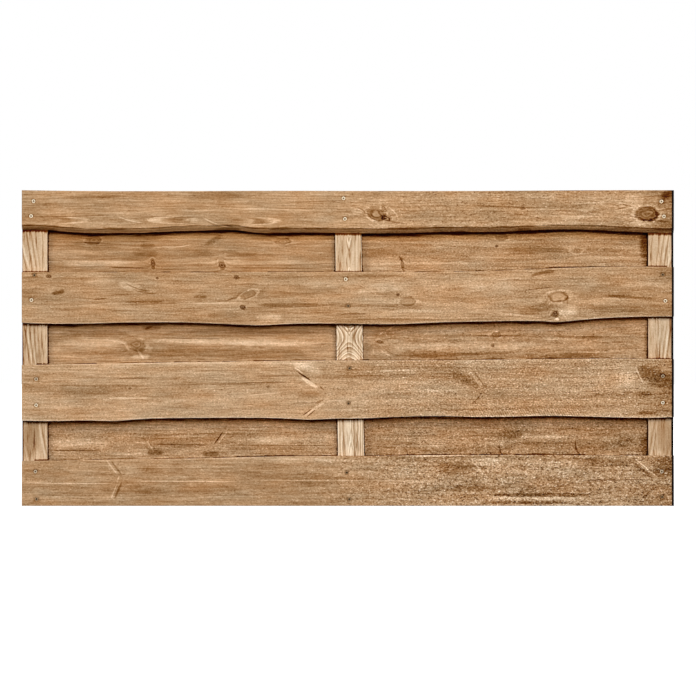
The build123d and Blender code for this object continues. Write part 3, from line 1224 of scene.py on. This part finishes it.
backLower = {
    "seed": 7,
    "tone": (152.0, 143.0),
    "pith": (-262.0, 70.0),
    "endTone": (0.0, -24.0),
    "speckle": (3.2, 5.2),
    "shadeTone": 30.0,
    "lines": [
        ((60, -283), (228, -283), 3.5, -30),
        ((356, -266), (520, -268), 3.5, -38),
        ((520, -268), (900, -270), 4, -22),
        ((300, -258), (356, -266), 4, 20),
        ((344, -256), (362, -286), 5, 22),
        ((352, -240), (346, -262), 5, 18),
        ((528, -268), (556, -228), 5, -52),
        ((538, -266), (568, -228), 5, 22),
        ((964, -270), (1215, -270), 4, 22),
        ((1320, -262), (1340, -305), 6, -34, -8),
        ((1532, -250), (1552, -302), 7, -38, -10),
        ((1058, -236), (1064, -262), 4, 20, 4),
        ((1052, -272), (1066, -298), 4, -24, 4),
        ((1330, -236), (1318, -272), 4, 16, 4),
        ((620, -298), (880, -300), 8, -12),
        ((90, -240), (830, -236), 10, -8),
    ],
    # painted shade beside the right batten, partly real stain
    "stainsAndShade": [((1727, -320), (1727, -226), 44, -26)],
    "patches": [
        ((150, -262), (180, 26), 0, 12, 1.8),
        ((366, -288), (50, 22), 0, -24, 0.8),
        ((521, -292), (50, 20), 0, -28, 1.2),
        ((300, -292), (110, 12), 0, 14, 1.4),
        ((690, -255), (200, 20), 0, 10, 1.8),
        ((1352, -238), (80, 30), 0, -24, 0.5),
        ((1440, -262), (180, 10), 0, -24, 2.2),
        ((1430, -246), (160, 10), 0, 22, 2.2),
        ((1680, -262), (110, 60), 0, -12, 1.0),
    ],
}

frontLooks = {"top": topBoard, "upper": upperBoard, "lower": lowerBoard, "bottom": bottomBoard}
for row, look in frontLooks.items():
    makeTimber("front_board_" + row, look, frontScrews["front_board_" + row])

backFinish = {"speckle": (1.6, 3.2), "ripple": (0.8, 1.2), "lateWood": (14.0, 16.0)}
backLooks = {"upper": backUpper, "middle": backMiddle, "lower": backLower}
for row, look in backLooks.items():
    name = "back_board_" + row
    makeTimber(name, {**backFinish, **look}, backScrews(name), -1)

battenFinish = {
    "tone": (184.0, 184.0),
    "strands": (1.0, 1.0),
    "hue": 0.3,
    "hairs": 0.4,
    "lateWood": (2.0, 2.0),
    # reach of the painted shade in the corners
    "paintedShadeReach": 7.0,
    "dark": (0.460, 0.275, 0.110, 1.0),
    "pale": (0.872, 0.760, 0.630, 1.0),
    "figure": 0.5,
    "taper": 0.0,
    "bands": 1.2,
    "clouds": 3.0,
    "fibre": 1.2,
    "ripple": (0.5, 0.5),
    "speckle": (1.0, 1.0),
    "ringWidth": 5.0,
    "endTone": (0.0, 0.0),
    "wearAndHighlight": 20.0,
    "waneTone": 0.0,
}
# The end battens are cut alike, with the grain running out at their outer sides.
# Their places here are up the batten, then in from its outer side.
endBatten = {
    "lines": [
        ((342, 8), (206, 30), 5, -110),
        ((342, 14), (206, 36), 4, 44),
        ((342, 21), (206, 42), 4.5, -90),
        ((342, 27), (206, 48), 3, 34),
        ((342, 33), (206, 52), 4, -48),
        ((306, -2), (206, 25), 7, 60, 2),
        ((300, -4), (206, 18), 4.5, -90, 3),
        ((340, 58), (206, 60), 3, -16),
        ((78, 4), (-60, 24), 5, -100),
        ((78, 10), (-60, 30), 5, 70),
        ((78, 17), (-60, 35), 4, -90),
        ((78, 24), (-60, 39), 3, 40),
        ((78, 30), (-60, 43), 4, -76),
        ((78, 36), (-60, 47), 3, 30),
        ((78, 42), (-60, 51), 3.5, -44),
        ((70, 54), (-60, 58), 3, -20),
        ((-186, 42), (-316, 66), 7, 60),
        ((-190, 50), (-316, 72), 5, -70),
        ((-205, 62), (-300, 74), 4, 40),
        ((-262, 6), (-316, 16), 5, 44),
        ((-268, 14), (-316, 22), 4, -50),
        ((-262, 22), (-316, 28), 4, 36),
        ((-272, 28), (-316, 34), 3.5, -44),
    ],
    "patches": [
        ((322, 2), (70, 20), 8, -44, 0.6),
        ((-5, 4), (150, 20), 7, -40, 0.6),
        ((-245, 22), (140, 60), 10, -58, 0.5),
        ((-308, 38), (60, 30), 0, 34, 0.6),
        ((-215, 16), (60, 34), 0, -10, 0.8),
    ],
}
leftBatten = {
    "seed": 8,
    "pith": (96.0, 40.0),
    # The last two lines are painted shade down the batten's outer side.
    "lines": endBatten["lines"] + [((-460, 1), (110, 1), 8, -280), ((200, 1), (330, 1), 5, -60)],
    "patches": endBatten["patches"] + [((280, 24), (150, 60), 0, -14, 0.6)],
}
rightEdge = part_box("batten_right")[1][0] / mm
rightBatten = {
    "seed": 10,
    "pith": (1700.0, 40.0),
    # the same lines mirrored, a little weaker
    "lines": [
        ((z0, rightEdge - x0), (z1, rightEdge - x1), thickness, strength * 0.9, *(-bend for bend in bow))
        for (z0, x0), (z1, x1), thickness, strength, *bow in endBatten["lines"]
    ],
    "patches": [
        ((z, rightEdge - x), size, -tilt, strength, ragged)
        for (z, x), size, tilt, strength, ragged in endBatten["patches"]
    ],
}
middleBatten = {
    "seed": 9,
    "tone": (200.0, 190.0),
    "pith": (904.0, 18.0),
    "sway": 1.5,
    "figure": 1.0,
    "roughFrom": (90.0, 170.0),
    "lateWood": (66.0, 16.0),
    "ringWidth": 5.0,
    "swells": [((30, 905), (130, 400), 0, 40.0)],
    "flames": [
        ((261, 903), (60, 19), 0, 1.8, 0.5, -56.0),
        ((228, 904), (36, 18), 180, 1.6, 0.6, 40.0),
        ((34, 904), (34, 44), 0, 2.6, 1.0, -56.0),
        ((-214, 909), (90, 24), 180, 2.4, 0.7, -46.0),
    ],
    "lines": [
        ((330, 880), (215, 882), 3, -16),
        ((330, 888), (215, 887), 3, -14),
        ((330, 921), (215, 920), 3, -18),
        ((330, 929), (215, 930), 3, -16),
    ],
}
battenLooks = {"left": leftBatten, "middle": middleBatten, "right": rightBatten}
for column, look in battenLooks.items():
    makeTimber("batten_" + column, {**battenFinish, **look}, upright=True)
print("stage 3: timbers built")


# Screws: a countersunk head of yellow-passivated steel with a cross recess

screwForm = {
    "segments": 48,
    "recess": 1.0,  # radius between the wings of the cross
    "wings": 1.2,  # how much further the wings reach
    "top": 0.15,  # depth of the head's top below the face
    "wingPower": 6,  # how narrow the wings are
    "recessRings": [(0.7, 1.3), (1.0, 0.12)],  # share of the recess's outline, and depth
    "recessFloor": 1.4,
    # radius and depth of the rings outside the recess
    "profile": [(3.9, 0.0), (4.75, 0.12), (4.9, 0.35), (2.3, 2.5)],
    "foot": 2.7,  # depth of the closed end of the cone
    # painted reflection: the pale metal colours stand in for light off the heads
    "shine": (0.98, 0.86, 0.66, 1.0),
    "dull": (0.90, 0.72, 0.48, 1.0),
    "dustAndShade": (0.360, 0.215, 0.105, 1.0),  # wood dust and painted shade on the heads driven below the face
    "recessShade": [(0.160, 0.085, 0.040, 1.0), (0.030, 0.018, 0.009, 1.0)],  # painted shade in the cross recess: flush heads, deep heads
    "deep": 0.7,  # a head sunk this far is as dark with dust and painted shade as they get
}


def screwHead(turn):
    count = screwForm["segments"]
    angle = np.linspace(0, 2 * np.pi, count, endpoint=False)
    wings = np.abs(np.cos(2 * (angle - turn))) ** screwForm["wingPower"]
    outline = screwForm["recess"] + screwForm["wings"] * wings
    rings = [(outline * share, deep) for share, deep in screwForm["recessRings"]]
    rings += screwForm["profile"]
    points = [(0.0, 0.0, screwForm["recessFloor"])]
    for radius, deep in rings:
        points += list(zip(radius * np.cos(angle), radius * np.sin(angle), np.full(count, deep)))
    points.append((0.0, 0.0, screwForm["foot"]))
    inRecess = np.zeros(len(points))
    inRecess[: 1 + len(screwForm["recessRings"]) * count] = 1.0
    faces = []
    for step in range(count):
        after = (step + 1) % count
        faces.append([0, 1 + step, 1 + after])
        for ring in range(len(rings) - 1):
            base = 1 + ring * count
            faces.append([base + step, base + count + step, base + count + after, base + after])
        base = 1 + (len(rings) - 1) * count
        faces.append([base + step, len(points) - 1, base + after])
    return np.array(points), faces, inRecess


def makeScrews(name, screws, faceDepth, inward, seed):
    random = np.random.default_rng(seed)
    points, faces, recess, sunken = [], [], [], []
    for along, across, sunk in screws:
        head, headFaces, inRecess = screwHead(random.uniform(0, np.pi))
        start = sum(len(part) for part in points)
        deep = faceDepth + inward * (screwForm["top"] + sunk + head[:, 2])
        points.append(np.stack([along + head[:, 0], deep, across + head[:, 1]], axis=1))
        faces += [[start + corner for corner in face] for face in headFaces]
        recess.append(inRecess)
        sunken.append(np.full(len(head), min(1.0, sunk / screwForm["deep"])))
    marks = {"recess": np.concatenate(recess), "sunken": np.concatenate(sunken)}
    piece = meshPiece(name, np.concatenate(points), faces, marks)
    piece.data.materials.append(screwMetal)
    return piece


def mixColours(tree, share, first, second):
    values = {0: share, 6: first, 7: second}
    return addWire(tree, "ShaderNodeMix", values, output=2, data_type="RGBA")


def screwMaterial():
    material = bpy.data.materials.new("yellow_zinc")
    material.use_nodes = True
    tree = material.node_tree
    shader = tree.nodes["Principled BSDF"]
    spot = addWire(tree, "ShaderNodeTexCoord", output="Object")
    stain = noiseAt(tree, spot, (4 * mm,) * 3, (1.0, 2.0, 3.0), 3.0)
    recess, sunken = (
        addWire(tree, "ShaderNodeAttribute", output="Fac", attribute_name=label)
        for label in ("recess", "sunken")
    )
    # Painted reflection: pale metal colours, mottled by the noise.
    metal = mixColours(tree, ramp(stain, -0.1, 0.08), screwForm["dull"], screwForm["shine"])
    # Dust and painted shade on sunk heads, and painted shade in the recess.
    head = mixColours(tree, sunken, metal, screwForm["dustAndShade"])
    hollow = mixColours(tree, sunken, *screwForm["recessShade"])
    plug(tree, shader.inputs["Base Color"], mixColours(tree, recess, head, hollow))
    plug(tree, shader.inputs["Metallic"], 0.15 - recess.math("MAXIMUM", sunken) * 0.15)
    plug(tree, shader.inputs["Roughness"], stain * 0.5 + 0.6 + recess * 0.3)
    shader.inputs["Specular IOR Level"].default_value = 0.05
    return material


screwMetal = screwMaterial()
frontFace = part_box("front_board_top")[0][1] / mm
makeScrews("screws_front", [screw for row in frontScrews.values() for screw in row], frontFace, 1, 41)
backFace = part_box("back_board_upper")[1][1] / mm
allBackScrews = [screw for row in backLooks for screw in backScrews("back_board_" + row)]
makeScrews("screws_back", allBackScrews, backFace, -1, 42)
print("stage 4: screws set")


# Studio

studio = {
    "cameraPlace": (0.9004, -12.032, 0.001),
    "lens": 225.0,
    "sensor": 36.0,
    # main lamp and fill lamp: place, size, power
    "lamps": [((1.8, -4.9, 1.95), (3.0, 2.7), 245.0), ((-2.2, -4.4, 1.95), (2.0, 2.7), 102.0)],
    "sideLamp": ((4.6, 0.0, 1.2), (1.2, 1.6), 70.0),  # one at each end of the panel
    "ambient": 0.006,
    "floorTone": 0.03,  # what the floor sends up to the panel
    "floorSize": 80.0,
    # What the camera sees of the floor: white that glows, with a share of a shaded floor near the
    # panel, which fades out between these distances.
    "glow": 1.5,
    "shadedTone": 0.8,
    "shadowShare": 0.4,
    "shadowReach": (2.6, 1.2),
}

camera = bpy.data.objects.new("camera", bpy.data.cameras.new("camera"))
camera.location = studio["cameraPlace"]
camera.rotation_euler = (math.pi / 2, 0, 0)
camera.data.sensor_width = studio["sensor"]
camera.data.lens = studio["lens"]
bpy.context.scene.collection.objects.link(camera)
bpy.context.scene.camera = camera

centre = (Vector(cadBox[0]) + Vector(cadBox[1])) / 2


def softLamp(name, spot, size, power):
    lamp = bpy.data.objects.new(name, bpy.data.lights.new(name, "AREA"))
    lamp.data.shape = "RECTANGLE"
    lamp.data.size, lamp.data.size_y = size
    lamp.data.energy = power
    lamp.location = spot
    lamp.rotation_euler = (centre - Vector(spot)).to_track_quat("-Z", "Y").to_euler()
    bpy.context.scene.collection.objects.link(lamp)


# The same lamps stand behind the panel, so that its back is lit as its front is.
for number, (spot, size, power) in enumerate(studio["lamps"]):
    softLamp(f"front_lamp_{number}", spot, size, power)
    behind = (2 * centre[0] - spot[0], -spot[1], spot[2])
    softLamp(f"back_lamp_{number}", behind, size, power)
(x, y, z), size, power = studio["sideLamp"]
softLamp("left_lamp", (centre[0] - x, y, z), size, power)
softLamp("right_lamp", (centre[0] + x, y, z), size, power)

# 1 for rays of the given kinds, 0 for the others
def raysOf(tree, *kinds):
    path = addNode(tree, "ShaderNodeLightPath")
    found, *others = (Wire(tree, path.outputs[kind]) for kind in kinds)
    for other in others:
        found = found.math("MAXIMUM", other)
    return found


def evenColour(tone):
    return (tone, tone, tone, 1.0)


world = bpy.data.worlds.new("studio")
bpy.context.scene.world = world
world.use_nodes = True
tree = world.node_tree
white = raysOf(tree, "Is Camera Ray", "Is Glossy Ray", "Is Transmission Ray")
background = tree.nodes["Background"]
background.inputs["Color"].default_value = evenColour(1.0)
plug(tree, background.inputs["Strength"], white * (1 - studio["ambient"]) + studio["ambient"])

half = studio["floorSize"] / 2
foot = (centre[0], 0.0, cadBox[0][2])
signs = ((-1, -1), (1, -1), (1, 1), (-1, 1))
corners = [(foot[0] + dx * half, dy * half, foot[2]) for dx, dy in signs]
floorMesh = bpy.data.meshes.new("floor")
floorMesh.from_pydata(corners, [], [(0, 1, 2, 3)])
floor = bpy.data.objects.new("floor", floorMesh)
bpy.context.scene.collection.objects.link(floor)
floorPaint = bpy.data.materials.new("floor_paint")
floorPaint.use_nodes = True
tree = floorPaint.node_tree
tree.nodes.clear()
seen = raysOf(tree, "Is Camera Ray", "Is Glossy Ray")
unseen = addWire(tree, "ShaderNodeBsdfDiffuse", {"Color": evenColour(studio["floorTone"])})
shaded = addWire(tree, "ShaderNodeBsdfDiffuse", {"Color": evenColour(studio["shadedTone"])})
glow = addWire(tree, "ShaderNodeEmission", {"Color": evenColour(1.0), "Strength": studio["glow"]})
spot = addWire(tree, "ShaderNodeNewGeometry", output="Position")
away = addWire(tree, "ShaderNodeVectorMath", {0: spot, 1: foot}, output="Value", operation="DISTANCE")
share = ramp(away, *studio["shadowReach"]) * studio["shadowShare"]
lit = addWire(tree, "ShaderNodeMixShader", {0: share, 1: glow, 2: shaded})
paint = addWire(tree, "ShaderNodeMixShader", {0: seen, 1: unseen, 2: lit})
addNode(tree, "ShaderNodeOutputMaterial", {"Surface": paint})
floorMesh.materials.append(floorPaint)
bpy.context.scene.view_settings.view_transform = "Standard"
print("stage 5: studio lit")
